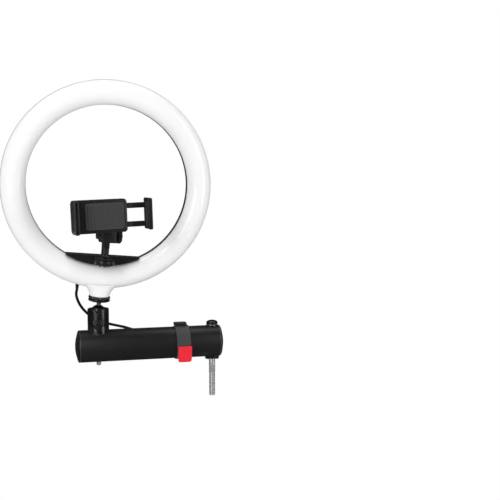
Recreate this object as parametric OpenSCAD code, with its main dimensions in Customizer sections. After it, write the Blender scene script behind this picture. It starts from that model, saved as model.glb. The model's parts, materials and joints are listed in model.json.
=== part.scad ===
// Ring light on a short boom: a ten inch ring with a phone holder, on a ball head.
// The origin is on the swivel bolt's axis, at the seat on the arm that carries the boom.
// +Z is up along the bolt, the boom runs towards -X, and the ring faces -Y.

/* [Ring] */
// Outer diameter of the ring
ring_od = 255; // [252:1:260]
// Width of the ring's band
ring_band = 30; // [29:0.5:32]
// Depth of the ring from its front to its back
ring_depth = 26; // [26:1:28]
// Lean of the ring towards +X, in degrees
ring_lean = 4.8; // [0:0.1:8]
// Nod of the ring towards the front, in degrees
ring_nod = 5; // [0:0.5:8]
// Number of chips in each of the two rows of lights
chips_per_row = 40; // [24:8:40]

/* [Phone holder] */
// Width of the phone between the jaws
phone_w = 84; // [74:1:90]
// Thickness of the phone under the lips
phone_t = 11; // [9:0.5:13]
// Height of the jaws
jaw_h = 39; // [34:1:42]
// Turn of the holder towards +X, in degrees
holder_turn = 10; // [-10:1:15]

/* [Ball head] */
// Radius of the ball
ball_r = 9; // [8.8:0.1:9.2]
// Radius of the ball housing and its base
housing_r = 13.2; // [13:0.1:14]
// Radius of the lock wheel under the ring
wheel_r = 13.3; // [12.5:0.1:14]
// Turn of the lock lever from straight down, in degrees
lever_turn = -21; // [-30:1:30]
// How far the ball head's front is turned to the left
head_turn = -9; // [-30:1:30]

/* [Boom] */
// Outer diameter of the boom tube
boom_d = 40; // [39:0.5:41]
// Wall of the boom tube
boom_wall = 2; // [1.5:0.1:2.5]
// Length of the boom over its end caps
boom_l = 181.5; // [178:0.5:190]
// Distance from the swivel bolt to the boom's short end
boom_overhang = 11; // [11:0.5:14]
// Distance from the swivel bolt to the ball head
head_reach = 144.3; // [140:0.1:150]

/* [Swivel bolt] */
// Radius of the bolt's free end
bolt_r = 4; // [3:0.5:5]
// Length of the bolt's free end
bolt_free = 48; // [30:1:70]
// Radius of the bolt's shoulder, which the boom turns on
shoulder_r = 6; // [5.5:0.1:6]

/* [Cable] */
// Diameter of the cable
cord_d = 3.4; // [3:0.1:3.6]
// Width of the strap
strap_w = 17.5; // [16:0.5:19]

/* [Hidden] */
$fn = 64;

fit = 0.05;    // radial clearance of a pin in its hole
gap = 0.3;     // clearance between moving faces

// Ring section, as radius and distance towards the front
ring_r = ring_od / 2;
ring_in = ring_r - ring_band;
ring_back = -ring_depth / 2;
rim_front = -2;
inner_front = -1;
dome_rise = 14.5;
shell = 2;
screw_r = ring_in + 15;
screw_count = 8;
button_angles = [-75, -67.5, -60];
board_z = -6;
board_t = 1.6;

// Ball head heights
boom_r = boom_d / 2;
saddle_t = 3;
boom_z = saddle_t + boom_r;
boom_top = boom_z + boom_r;
ball_z = 65.8;
housing_top = 70.3;
housing_bottom = 49.5;
ring_rise = 157.2;      // ball centre to ring centre
wheel_low = 13.75;      // ball centre to the lock wheel's underside
wheel_t = 6.7;
stud_r = 3.12;
lever_z = 55.1;
boom_left = boom_overhang - boom_l;
cap_t = 3;

// Phone holder, in the ring's frame and then each piece's own
post_y = -30;
tongue_top = -86.5;
tongue_t = 6;
post_r = 5;
knuckle_z = -57;
ear_r = 8;
hub_y = -21;
hub_z = 25;
clamp_roll = 1.2;       // the clamp's right end stands a little higher
jaw_t = 3.5;
body_t = 8;
pad_t = 1.5;
jaw_depth = body_t + pad_t + phone_t + 3.5;
body_end = 16;
clamp_shift = -3.5;

// Cable route: the stretch from the gland to the boom, then along the boom to the hank
span_route = [
  [-169, 13.8, 93.6], [-170, 14.6, 86], [-167.5, 15.6, 77], [-163, 17, 69], [-157, 18.4, 62],
  [-150.5, 20.2, 56], [-143, 21.4, 51.6], [-135, 21.8, 48.4], [-127, 21.6, 46],
  [-119, 21.1, 44], [-111, 20.6, 42], [-104, 20.3, 39.8]
];
run_route = [
  [-104, 19.8, 39.8], [-97, 20.2, 37.2], [-90, 20.8, 34.8], [-82, 21.6, 33.2],
  [-73, 22.2, 32.7], [-64, 22.4, 32.6]
];
tail_route = [
  [-24, 34.4, 5.4], [-28, 36.4, 6.2], [-32, 38.4, 8], [-35.5, 39.2, 9.6], [-38, 39.3, 10]
];
hank_x = -40;
hank_z = 19;
hank_run = 36;
turn_pitch = 3.6;
hank_in = 10.2;
hank_layers = 4;
hank_y = 20.6;
hank_t = hank_layers * turn_pitch;
hank_r = hank_in + turn_pitch + cord_d / 2;
plug_y = 39.3;
plug_z = 10;

// ---- shared shapes ----

module in_ring() {
  translate([-head_reach, 0, ball_z]) rotate([ring_nod, ring_lean, 0])
    translate([0, 0, ring_rise]) children();
}

module in_head() {
  translate([-head_reach, 0, 0]) rotate([0, 0, head_turn]) children();
}

module in_ball() {
  translate([-head_reach, 0, ball_z]) rotate([ring_nod, ring_lean, 0]) children();
}

module in_post() {
  in_ring() translate([0, post_y, 0]) rotate([0, 0, holder_turn]) children();
}

module in_knuckle() {
  in_post() translate([0, 0, knuckle_z]) rotate([-ring_nod, 0, 0]) children();
}

module in_clamp() {
  in_knuckle() translate([0, hub_y, hub_z]) rotate([0, -ring_lean - clamp_roll, 0]) children();
}

// A profile of radius and distance to the front, turned about the ring's axis
module ring_turned() {
  rotate([90, 0, 0]) rotate_extrude($fn = 180) children();
}

// A rod towards the front from one depth to another, at a radius and an angle
module ring_rod(radius, angle, r, from, to) {
  rotate([90, 0, 0]) translate([radius * cos(angle), radius * sin(angle), from])
    cylinder(r = r, h = to - from);
}

// A rod along X, Y or Z from one place to another
module rod_x(r, from, to) {
  translate([from, 0, 0]) rotate([0, 90, 0]) cylinder(r = r, h = to - from);
}

module rod_y(r, from, to) {
  translate([0, to, 0]) rotate([90, 0, 0]) cylinder(r = r, h = to - from);
}

module rod_z(r, from, to) {
  translate([0, 0, from]) cylinder(r = r, h = to - from);
}

// A box from its lowest to its highest corner
module block(low, high) {
  translate(low) cube(high - low);
}

// A plate in XZ with round corners, from one Y to another
module plate_y(x0, x1, z0, z1, r, y0, y1) {
  translate([0, y1, 0]) rotate([90, 0, 0]) linear_extrude(y1 - y0)
    union() {
      translate([x0 + r, z0]) square([x1 - x0 - 2 * r, z1 - z0]);
      translate([x0, z0 + r]) square([x1 - x0, z1 - z0 - 2 * r]);
      for (x = [x0 + r, x1 - r], z = [z0 + r, z1 - r]) translate([x, z]) circle(r = r);
    }
}

module hex_nut(across, h, bore) {
  difference() {
    cylinder(r = across / sqrt(3), h = h, $fn = 6);
    translate([0, 0, -1]) cylinder(r = bore, h = h + 2);
  }
}

// ---- a round tube along a route ----

function unit(v) = v / norm(v);
function heading(p, i) =
  unit(p[min(i + 1, len(p) - 1)] - p[max(i - 1, 0)]);
function sideways(d) = unit(cross(d, [0, 1, 0.001]));
function ring_at(p, i, r, n) =
  let (d = heading(p, i), a = sideways(d), b = cross(d, a))
  [for (k = [0 : n - 1]) p[i] + r * cos(360 * k / n) * a + r * sin(360 * k / n) * b];

module swept(p, r, n = 8) {
  m = len(p);
  points = [for (i = [0 : m - 1]) each ring_at(p, i, r, n)];
  sides = [
    for (i = [0 : m - 2], k = [0 : n - 1])
      [i * n + k, i * n + (k + 1) % n, (i + 1) * n + (k + 1) % n, (i + 1) * n + k]
  ];
  start = [for (k = [n - 1 : -1 : 0]) k];
  end = [for (k = [0 : n - 1]) (m - 1) * n + k];
  polyhedron(points, concat([start], sides, [end]), convexity = 6);
}

// ---- the ring ----

dome_mid = ring_r - (ring_r - ring_in - 0.7) / 2;
dome_half = (ring_r - ring_in - 0.7) / 2;
function dome(t, inset) = [
  dome_mid + (dome_half - inset) * cos(t),
  rim_front + (inner_front - rim_front) * (1 - cos(t)) / 2 + (dome_rise - inset) * sin(t)
];

module diffuser() {
  color("white") in_ring() difference() {
    union() {
      ring_turned() polygon(concat(
        [for (t = [0 : 7.5 : 180]) dome(t, 0)],
        [for (t = [180 : -7.5 : 0]) dome(t, shell)]
      ));
      for (i = [0 : screw_count - 1])
        ring_rod(screw_r, 360 * i / screw_count, 3.2, ring_back + shell, 11.6);
    }
    for (i = [0 : screw_count - 1])
      ring_rod(screw_r, 360 * i / screw_count, 1.5, ring_back, 4);
  }
}

housing_edge = [
  [ring_in + 0.8, ring_back], [ring_r - 8, ring_back], [ring_r - 6.2, ring_back + 0.6],
  [ring_r - 4.4, ring_back + 2.6], [ring_r - 0.5, rim_front], [ring_r - 2.7, rim_front],
  [ring_r - 8, ring_back + shell], [ring_in + 2.2, ring_back + shell],
  [ring_in + 2.2, inner_front], [ring_in, inner_front], [ring_in, ring_back + 0.8]
];

module rear_housing() {
  color("dimgray") in_ring() difference() {
    union() {
      ring_turned() polygon(housing_edge);
      for (r = [screw_r - 8, screw_r + 6.5])
        ring_turned() translate([r, ring_back + shell - 0.01])
          square([1.5, board_z - ring_back - shell + 0.01]);
    }
    for (i = [0 : screw_count - 1]) {
      ring_rod(screw_r, 360 * i / screw_count, 1.6, ring_back - 1, ring_back + 3);
      ring_rod(screw_r, 360 * i / screw_count, 3.1, ring_back - 1, ring_back + 1.2);
    }
    for (a = button_angles) ring_rod(screw_r, a, 3.7, ring_back - 1, ring_back + 3);
    for (x = [-28.5, -25.5]) translate([x, 0, -112]) rod_y(0.8, 10, 14);
    for (x = [-20, 20]) translate([x, 5, 0]) rod_z(1.6, -99, -90);
  }
}

module led_board() {
  color("whitesmoke") in_ring() difference() {
    ring_turned() translate([screw_r - 9, board_z]) square([18, board_t]);
    for (i = [0 : screw_count - 1])
      ring_rod(screw_r, 360 * i / screw_count, 3.5, board_z - 1, board_z + 3);
  }
}

module led_chips() {
  color("gold") in_ring()
    for (i = [0 : chips_per_row - 1], r = [screw_r - 4, screw_r + 4])
      rotate([0, -360 * (i + 0.5) / chips_per_row, 0])
        block([r - 1.4, -board_z - board_t - 0.8, -1.75], [r + 1.4, -board_z - board_t, 1.75]);
}

module tact_switches() {
  color("silver") in_ring() for (a = button_angles)
    rotate([0, -a, 0]) block([screw_r - 3, -board_z, -3], [screw_r + 3, -board_z + 2.6, 3]);
}

module button(angle) {
  in_ring() {
    ring_rod(screw_r, angle, 3.4, ring_back - 1.3, ring_back + shell + gap);
    ring_rod(screw_r, angle, 4.6, ring_back + shell + gap, ring_back + shell + gap + 1);
  }
}

module power_button() { color("white") button(button_angles[0]); }
module brighter_button() { color("white") button(button_angles[1]); }
module dimmer_button() { color("white") button(button_angles[2]); }

module housing_screws() {
  color("silver") in_ring() for (i = [0 : screw_count - 1]) difference() {
    union() {
      ring_rod(screw_r, 360 * i / screw_count, 1.5, ring_back + 0.4, 2);
      ring_rod(screw_r, 360 * i / screw_count, 2.9, ring_back + 0.1, ring_back + 1.2);
    }
    ring_rod(screw_r, 360 * i / screw_count, 1, ring_back - 1, ring_back + 0.9);
  }
}

boss_low = wheel_low + wheel_t + 0.05 - ring_rise;

module mount_boss() {
  color("white") in_ring() difference() {
    union() {
      translate([0, 0, boss_low]) cylinder(r1 = 12.3, r2 = 13, h = 2.5);
      intersection() {
        translate([0, 0, boss_low + 2.5]) cylinder(r1 = 13, r2 = 20, h = 13.2);
        block([-25, -11.5, boss_low], [25, 11.5, boss_low + 20]);
      }
    }
    ring_turned() polygon(concat(
      [[90, 14], [dome_mid, 14]],
      [for (t = [75 : -7.5 : 0]) dome(t, -0.15)],
      [
        [ring_r - 0.4, rim_front], [ring_r - 4.4, ring_back + 2.6],
        [ring_r - 6.2, ring_back + 0.6], [ring_r - 8, ring_back], [ring_r - 8, -20], [90, -20]
      ]
    ));
    rod_z(5.5, boss_low - 1, boss_low + 8);
  }
}

module boss_insert() {
  color("goldenrod") in_ring() difference() {
    rod_z(5.5, boss_low, boss_low + 8);
    rod_z(stud_r + fit, boss_low - 1, boss_low + 9);
  }
}

module cable_gland() {
  color("black") in_ring() translate([-27, 0, 0]) {
    plate_y(-5, 5, -119, -105, 2, 13, 15);
    block([-4, 15, -119], [4, 19, -108]);
    translate([0, 16, -132.4]) cylinder(r1 = cord_d / 2 + 0.3, r2 = 3.4, h = 13.4);
  }
}

module inner_leads() {
  color("red") in_ring() for (x = [-28.5, -25.5])
    translate([x, 0, -112]) rod_y(0.7, -board_z, 13);
}

// ---- the phone holder ----

module holder_bracket() {
  color("black") in_ring() difference() {
    union() {
      intersection() {
        rod_y(ring_in - 0.05, -9, 9);
        block([-60, -9, -ring_in], [60, 9, -86]);
      }
      block([-12, post_y, tongue_top - tongue_t], [12, -8, tongue_top]);
      translate([0, post_y, 0]) rod_z(12, tongue_top - tongue_t, tongue_top);
    }
    translate([0, post_y, 0]) rod_z(post_r + fit, -100, -80);
    for (x = [-20, 20]) translate([x, 5, 0]) {
      rod_z(1.6, -99, -80);
      rod_z(3.2, -88, -80);
    }
  }
}

module bracket_screws() {
  color("silver") in_ring() for (x = [-20, 20]) translate([x, 5, 0]) difference() {
    union() {
      rod_z(1.5, -98, -88);
      rod_z(3, -88, -86.4);
    }
    rod_z(1, -87.2, -86);
  }
}

module holder_post() {
  color("black") in_post() difference() {
    union() {
      rod_z(post_r, tongue_top - tongue_t - 2, tongue_top + 2);
      rod_z(9, tongue_top + 0.1, tongue_top + 3);
      rod_z(post_r, tongue_top, knuckle_z - 10);
      block([-4, -5, knuckle_z - 10.5], [4, 5, knuckle_z]);
      translate([0, 0, knuckle_z]) rod_x(ear_r, -4, 4);
    }
    translate([0, 0, knuckle_z]) rod_x(2.5 + fit, -6, 6);
  }
}

module post_nut() {
  color("silver") in_post() difference() {
    rod_z(8, tongue_top - tongue_t - 1.9, tongue_top - tongue_t - 0.1);
    rod_z(post_r, tongue_top - tongue_t - 3, tongue_top - tongue_t + 1);
  }
}

module tilt_arm() {
  color("black") in_knuckle() difference() {
    union() {
      for (s = [-1, 1]) {
        rod_x(ear_r, min(s * 4.3, s * 8.5), max(s * 4.3, s * 8.5));
        block([min(s * 4.3, s * 8.5), -14, -ear_r], [max(s * 4.3, s * 8.5), 0, ear_r]);
      }
      block([-8.5, -15, -ear_r], [8.5, -9.5, hub_z]);
      translate([0, 0, hub_z]) rod_y(12, hub_y + 6.3, hub_y + 12);
      translate([0, 0, hub_z]) rod_y(10, hub_y + 0.3, hub_y + 7);
    }
    rod_x(2.5 + fit, -10, 10);
    translate([0, 0, hub_z]) rod_y(3 + fit, hub_y - 1, hub_y + 13);
  }
}

module tilt_screw() {
  color("black") in_knuckle() difference() {
    union() {
      rod_x(2.5, -12.5, 9);
      rod_x(6, 8.8, 12);
      rod_x(9, 12, 18);
    }
    for (a = [0 : 45 : 315]) rotate([a, 0, 0]) translate([0, 10.4, 0]) rod_x(2.4, 11, 19);
  }
}

module tilt_nut() {
  color("silver") in_knuckle() translate([-12, 0, 0]) rotate([0, 90, 0])
    hex_nut(8, 3.4, 2.5 + fit);
}

module clamp_pivot() {
  color("silver") in_clamp() {
    rod_y(3, -2, 14.4);
    rod_y(5.5, 12.4, 14.4);
  }
}

lip = 2;
fixed_in = clamp_shift - phone_w / 2;
moving_in = clamp_shift + phone_w / 2;
half_h = jaw_h / 2;

module clamp_body() {
  color("black") in_clamp() difference() {
    union() {
      plate_y(fixed_in - jaw_t, body_end, -half_h, half_h, 4, -body_t, 0);
      plate_y(fixed_in - jaw_t, fixed_in, -half_h, half_h, 1.7, -jaw_depth, -4);
      plate_y(fixed_in - jaw_t, fixed_in + lip, -half_h, half_h, 2.7, -jaw_depth, -jaw_depth + 3.5);
    }
    rod_y(3, -2, 1);
    for (z = [-11, 11]) block([-34, -6, z - 3.5], [body_end + 1, -2, z + 3.5]);
  }
}

module sliding_jaw() {
  color("black") in_clamp() {
    plate_y(moving_in, moving_in + jaw_t, -half_h, half_h, 1.7, -jaw_depth, 0);
    plate_y(moving_in - lip, moving_in + jaw_t, -half_h, half_h, 2.7, -jaw_depth, -jaw_depth + 3.5);
    for (z = [-11, 11])
      block([-10, -6 + gap, z - 3.5 + gap], [moving_in + 1, -2 - gap, z + 3.5 - gap]);
  }
}

module clamp_springs() {
  color("silver") in_clamp() for (z = [-11, 11]) translate([0, -4, z]) difference() {
    rod_x(1.6, -33.8, -10.2);
    rod_x(1.1, -34, -10);
  }
}

module back_pad() {
  color("dimgray") in_clamp()
    plate_y(-34, 12, -half_h + 4, half_h - 4, 3, -body_t - pad_t, -body_t);
}

module fixed_jaw_pad() {
  color("dimgray") in_clamp()
    block([fixed_in, -body_t - phone_t, -half_h + 4], [fixed_in + 1, -body_t - 1, half_h - 4]);
}

module sliding_jaw_pad() {
  color("dimgray") in_clamp()
    block([moving_in - 1, -body_t - phone_t, -half_h + 4], [moving_in, -body_t - 1, half_h - 4]);
}

// ---- the ball head ----

module ball_stem() {
  color("silver") in_ball() {
    rod_z(2.75, 2, wheel_low);
    rod_z(stud_r, wheel_low, wheel_low + wheel_t + 7);
  }
}

module ball() {
  color("black") in_ball() difference() {
    sphere(r = ball_r, $fn = 96);
    rod_z(2.75, 2, 12);
  }
}

module ball_cup() {
  color("ivory") translate([-head_reach, 0, ball_z]) difference() {
    sphere(r = ball_r + 1.2, $fn = 96);
    sphere(r = ball_r + fit, $fn = 96);
    translate([-20, -20, -7]) cube(40);
    rod_z(2, -12, 0);
  }
}

module lock_wheel() {
  color("black") in_ball() difference() {
    union() {
      rod_z(wheel_r, wheel_low, wheel_low + 2.6);
      rod_z(wheel_r - 0.8, wheel_low + 2.4, wheel_low + 4);
      rod_z(wheel_r, wheel_low + 3.8, wheel_low + wheel_t);
    }
    rod_z(stud_r + fit, wheel_low - 1, wheel_low + wheel_t + 1);
  }
}

module ball_housing() {
  color("black") in_head() difference() {
    rod_z(housing_r, housing_bottom, housing_top);
    translate([0, 0, ball_z]) sphere(r = ball_r + fit, $fn = 96);
    intersection() {
      translate([0, 0, ball_z]) sphere(r = ball_r + 1.25, $fn = 96);
      rod_z(20, 40, ball_z + 0.3);
    }
    translate([0, 0, ball_z + 3]) cylinder(r1 = 8.5, r2 = 10.5, h = housing_top - ball_z - 2.99);
    rod_z(4.05, 50.2, 60);
    translate([0, 0, lever_z - 1.9]) rod_y(2.4 + fit, -14, -3);
    translate([0, 0, housing_top - 4]) rod_y(2.9, -20, -6);
    block([-2.9, -20, housing_top - 4], [2.9, -6, housing_top + 1]);
  }
}

module pressure_plug() {
  color("goldenrod") in_head() difference() {
    rod_z(4, 50.3, 55.2);
    translate([0, 0, lever_z - 1.9]) rod_y(2.7, -5, -1.5);
  }
}

// The lever's outline: a round hub that narrows to a round tip
module lock_lever() {
  color("black") in_head() translate([0, 0, lever_z - 1.9]) rotate([0, lever_turn, 0])
    difference() {
      union() {
        translate([0, -14.2, 0]) rotate([90, 0, 0]) linear_extrude(5) union() {
          circle(r = 6);
          translate([0, -9.4]) circle(r = 3);
          polygon([[-5.81, -1.5], [5.81, -1.5], [2.9, -10.2], [-2.9, -10.2]]);
        }
        rod_y(4, -14.3, -13.5);
      }
      rod_y(2.4, -20, -13);
    }
}

module lever_screw() {
  color("silver") in_head() translate([0, 0, lever_z - 1.9]) {
    rod_y(2.4, -19.2, -1.6);
  }
}

module base_collar() {
  color("black") translate([-head_reach, 0, 0]) difference() {
    union() {
      rod_z(housing_r - 0.6, boom_z, housing_bottom);
      rod_z(housing_r, boom_z, housing_bottom - 0.5);
    }
    translate([0, 0, boom_z]) rod_x(boom_r, -30, 30);
    rod_z(2.9, 40, 48.5);
  }
}

module base_bolt() {
  color("silver") translate([-head_reach, 0, 0]) rod_z(2.9, -1.6, 48.5);
}

module base_nut() {
  color("silver") translate([-head_reach, 0, saddle_t + boom_wall + 0.8]) hex_nut(10, 4, 2.9);
}

// ---- the boom ----

module boom_tube() {
  color("black") difference() {
    translate([0, 0, boom_z]) rod_x(boom_r, boom_left + cap_t, boom_overhang - cap_t);
    translate([0, 0, boom_z]) rod_x(boom_r - boom_wall, boom_left, boom_overhang);
    rod_z(shoulder_r + 0.4, -5, boom_top + 5);
    translate([-head_reach, 0, 0]) rod_z(2.95, -5, boom_top + 5);
  }
}

// A cap's flange with a soft edge and a slightly raised face, outwards along +Z
module cap_flange() {
  rotate_extrude($fn = 96) polygon(concat(
    [[0, 0], [boom_r, 0]],
    [for (a = [0 : 18 : 90]) [boom_r - 1.8 + 1.8 * cos(a), cap_t - 2.6 + 1.8 * sin(a)]],
    [for (r = [15 : -3 : 0]) [r, cap_t - 0.8 + 3.5 * (1 - pow(r / 18.2, 2))]]
  ));
}

module left_cap() {
  color("black") translate([boom_left + cap_t, 0, boom_z]) {
    rotate([0, -90, 0]) cap_flange();
    difference() {
      rod_x(boom_r - boom_wall, 0, 9);
      rod_x(boom_r - boom_wall - 2, 1, 10);
    }
  }
}

module right_plug() {
  color("black") difference() {
    translate([0, 0, boom_z]) union() {
      translate([boom_overhang - cap_t, 0, 0]) rotate([0, 90, 0]) cap_flange();
      rod_x(boom_r - boom_wall, -13, boom_overhang - cap_t);
    }
    rod_z(shoulder_r + fit, -5, boom_top + 5);
  }
}

module lower_saddle() {
  color("black") difference() {
    rod_z(9, 0.9, 7);
    translate([0, 0, boom_z]) rod_x(boom_r, -20, 20);
    rod_z(shoulder_r + 0.4, -1, 10);
  }
}

module upper_saddle() {
  color("black") difference() {
    rod_z(7.6, boom_top - 3, boom_top + 0.8);
    translate([0, 0, boom_z]) rod_x(boom_r, -20, 20);
    rod_z(shoulder_r + 0.4, boom_top - 5, boom_top + 5);
  }
}

module swivel_bolt() {
  color("silver") {
    rod_z(bolt_r, -bolt_free, 0);
    rod_z(shoulder_r, 0, boom_top + 1.5);
    translate([0, 0, boom_top + 1.5]) cylinder(r = 6.2, h = 3.4);
  }
}

module bolt_cap() {
  color("black") translate([0, 0, boom_top + 1.5]) difference() {
    rotate_extrude() polygon(concat(
      [[0, 0], [7.3, 0]],
      [for (a = [0 : 10 : 90]) [7.3 * cos(a), 2.2 + 3.3 * sin(a)]]
    ));
    translate([0, 0, -1]) cylinder(r = 6.2, h = 4.4);
  }
}

module lower_washer() {
  color("silver") difference() {
    rod_z(9, 0, 0.8);
    rod_z(shoulder_r, -1, 2);
  }
}

module upper_washer() {
  color("silver") difference() {
    rod_z(7.2, boom_top + 0.9, boom_top + 1.5);
    rod_z(shoulder_r, boom_top, boom_top + 3);
  }
}

// ---- the strap ----

// Round everything that the strap holds, standing off by a distance, in YZ
module strap_outline(off) {
  hull($fn = 48) {
    translate([0, boom_z]) circle(r = boom_r + off);
    for (z = [hank_z - hank_r, hank_z + hank_r])
      translate([hank_y + hank_t, z]) circle(r = 0.3 + off);
    for (z = [plug_z - 5.2, plug_z + 5.2]) translate([plug_y + 2, z]) circle(r = 2.4 + off);
  }
}

module strap_band() {
  color("dimgray") translate([hank_x - strap_w / 2, 0, 0])
    rotate([90, 0, 90]) linear_extrude(strap_w) difference() {
      strap_outline(1.6);
      strap_outline(0.2);
    }
}

module strap_buckle() {
  color("black") difference() {
    block([hank_x - strap_w / 2 - 0.7, -7.5, boom_top], [hank_x + strap_w / 2 - 2.5, 5.5, boom_top + 5.6]);
    translate([0, 0, boom_z]) rod_x(boom_r + 1.65, -80, 0);
    block([hank_x - strap_w / 2 + 1.4, -5, boom_top + 4], [hank_x + strap_w / 2 - 4.6, 3, boom_top + 9]);
  }
}

tab_steps = 8;
function tab_line(off) = [
  for (i = [0 : tab_steps]) let (s = i / tab_steps)
    [-21.75 - off + 3.8 * s * s, 21 - 20 * s]
];

module strap_tab() {
  color("red") translate([hank_x - strap_w / 2 + 1.6, 0, 0])
    rotate([90, 0, 90]) linear_extrude(strap_w - 0.6)
      polygon(concat(
        tab_line(0),
        [for (i = [tab_steps : -1 : 0]) tab_line(1.6)[i]]
      ));
}

// ---- the cable ----

module cable_span() { color("black") swept(span_route, cord_d / 2); }
module cable_run() { color("black") swept(run_route, cord_d / 2); }
module cable_tail() { color("black") swept(tail_route, cord_d / 2); }

module cable_hank() {
  color("black") translate([hank_x, hank_y + hank_t, hank_z]) rotate([90, 0, 0])
    linear_extrude(hank_t) union() {
      square([hank_run, 2 * hank_r], center = true);
      for (s = [-1, 1]) translate([s * hank_run / 2, 0]) circle(r = hank_r);
    }
}

module plug_relief() {
  color("black") translate([-38, plug_y, plug_z]) rotate([0, -90, 0])
    cylinder(r1 = cord_d / 2 + 0.2, r2 = 3, h = 7);
}

module plug_grip() {
  color("black") translate([0, plug_y, plug_z]) block([-65, -3.6, -7], [-45, 3.6, 7]);
}

module plug_shell() {
  color("silver") translate([0, plug_y, plug_z]) difference() {
    block([-79, -2.25, -6], [-65, 2.25, 6]);
    block([-80, -1.9, -5.65], [-65.4, 1.9, 5.65]);
  }
}

module plug_tongue() {
  color("white") translate([0, plug_y, plug_z]) block([-78.4, 0, -5.6], [-65.4, 1.85, 5.6]);
}

rear_housing();
diffuser();
led_board();
led_chips();
tact_switches();
power_button();
brighter_button();
dimmer_button();
housing_screws();
mount_boss();
boss_insert();
cable_gland();
inner_leads();
holder_bracket();
bracket_screws();
holder_post();
post_nut();
tilt_arm();
tilt_screw();
tilt_nut();
clamp_pivot();
clamp_body();
sliding_jaw();
clamp_springs();
back_pad();
fixed_jaw_pad();
sliding_jaw_pad();
ball_stem();
ball();
ball_cup();
lock_wheel();
ball_housing();
pressure_plug();
lock_lever();
lever_screw();
base_collar();
base_bolt();
base_nut();
boom_tube();
left_cap();
right_plug();
lower_saddle();
upper_saddle();
swivel_bolt();
bolt_cap();
lower_washer();
upper_washer();
strap_band();
strap_buckle();
strap_tab();
cable_span();
cable_run();
cable_hank();
cable_tail();
plug_relief();
plug_grip();
plug_shell();
plug_tongue();
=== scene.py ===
"""Ring light on a short boom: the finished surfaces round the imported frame.

Sizes are in millimetres in the row frame until a mesh is made, and in metres after that.
"""

import json
import math

import bmesh
import bpy
import numpy as np
from mathutils import Matrix, Vector


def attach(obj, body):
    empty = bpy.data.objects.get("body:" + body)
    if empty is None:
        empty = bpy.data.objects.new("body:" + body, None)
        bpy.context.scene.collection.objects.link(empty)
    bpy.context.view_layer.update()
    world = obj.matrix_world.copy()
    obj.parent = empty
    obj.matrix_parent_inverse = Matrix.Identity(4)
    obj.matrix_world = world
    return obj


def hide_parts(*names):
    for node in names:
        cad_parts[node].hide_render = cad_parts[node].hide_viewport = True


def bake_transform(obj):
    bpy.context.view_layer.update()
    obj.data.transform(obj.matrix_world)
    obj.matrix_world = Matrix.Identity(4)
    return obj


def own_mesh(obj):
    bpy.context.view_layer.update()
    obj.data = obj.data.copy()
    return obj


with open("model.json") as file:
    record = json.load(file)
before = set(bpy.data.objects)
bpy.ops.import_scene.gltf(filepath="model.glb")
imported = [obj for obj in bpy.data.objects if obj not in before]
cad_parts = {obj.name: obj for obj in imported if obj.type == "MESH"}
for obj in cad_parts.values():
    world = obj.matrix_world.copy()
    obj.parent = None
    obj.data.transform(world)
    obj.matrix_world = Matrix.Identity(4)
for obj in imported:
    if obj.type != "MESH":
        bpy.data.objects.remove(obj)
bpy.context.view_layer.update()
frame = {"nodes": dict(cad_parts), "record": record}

MM = 0.001
SMOOTH_BELOW = 38  # degrees: edges that bend less are shaded smooth
LOOKS = {}  # every finish by its name, filled by make_looks

# Ring, from its centre
RING_R, RING_IN, RING_BACK = 127.5, 97.5, -13.0
DOME_MID, DOME_HALF, DOME_RISE = 112.4, 14.85, 14.5
RIM_FRONT, INNER_FRONT = -2.0, -1.0
SCREW_R = 112.5
BUTTON_ANGLES = {"power": -75.0, "brighter": -67.5, "dimmer": -60.0}

# Boom and ball head
BOOM_R, BOOM_Z, BOOM_LEFT, BOOM_RIGHT = 20.0, 23.0, -170.5, 11.0
BALL = Vector((-144.3, 0, 65.8))
TUBE_ENDS = (BOOM_LEFT + 3, BOOM_RIGHT - 3)
HOUSING_R, HOUSING_LOW, HOUSING_TOP = 13.2, 49.5, 70.3
LEVER_Z = 53.2
BOSS_LOW = -136.7

# Phone holder
POST_Y, KNUCKLE_Z, HUB_Y, HUB_Z = -30.0, -57.0, -21.0, 25.0
FIXED_IN, MOVING_IN, HALF_JAW, JAW_DEPTH = -45.5, 38.5, 19.5, 24.0
SPRING_ROWS = (-11, 11)

# Cable, hank and strap
CORD_D, GLAND_X = 3.4, -27
HANK_X, HANK_Y, HANK_Z, HANK_HALF = -40.0, 20.6, 19.0, 18.0
TURN_R = (13.8, 10.2)
PITCH = 3.6
STRAP_W = 17.5
PLUG_X, PLUG_Y, PLUG_Z = -38.0, 39.3, 10.0


def turned(degrees, axis):
    return Matrix.Rotation(math.radians(degrees), 4, axis)


AT_BALL = Matrix.Translation(BALL) @ turned(4.8, "Y") @ turned(5, "X")
AT_RING = AT_BALL @ Matrix.Translation((0, 0, 157.2))
AT_POST = AT_RING @ Matrix.Translation((0, POST_Y, 0)) @ turned(10, "Z")
AT_KNUCKLE = AT_POST @ Matrix.Translation((0, 0, KNUCKLE_Z)) @ turned(-5, "X")
AT_CLAMP = AT_KNUCKLE @ Matrix.Translation((0, HUB_Y, HUB_Z)) @ turned(-6, "Y")
AT_HEAD = Matrix.Translation((BALL.x, 0, 0))
AT_TURNED_HEAD = AT_HEAD @ turned(-9, "Z")
AT_BOOM = Matrix.Translation((0, 0, BOOM_Z))
HERE = Matrix.Identity(4)


# ---- camera ----


def make_camera():
    data = bpy.data.cameras.new("camera")
    data.lens = 61.2
    data.sensor_width = 36
    data.clip_start, data.clip_end = 0.02, 60
    camera = bpy.data.objects.new("camera", data)
    camera.location = (-0.2219, -1.0623, 0.2228)
    camera.rotation_euler = (math.radians(85.63), 0, math.radians(-14.39))
    bpy.context.scene.collection.objects.link(camera)
    bpy.context.scene.camera = camera


# ---- mesh tools ----


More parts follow.
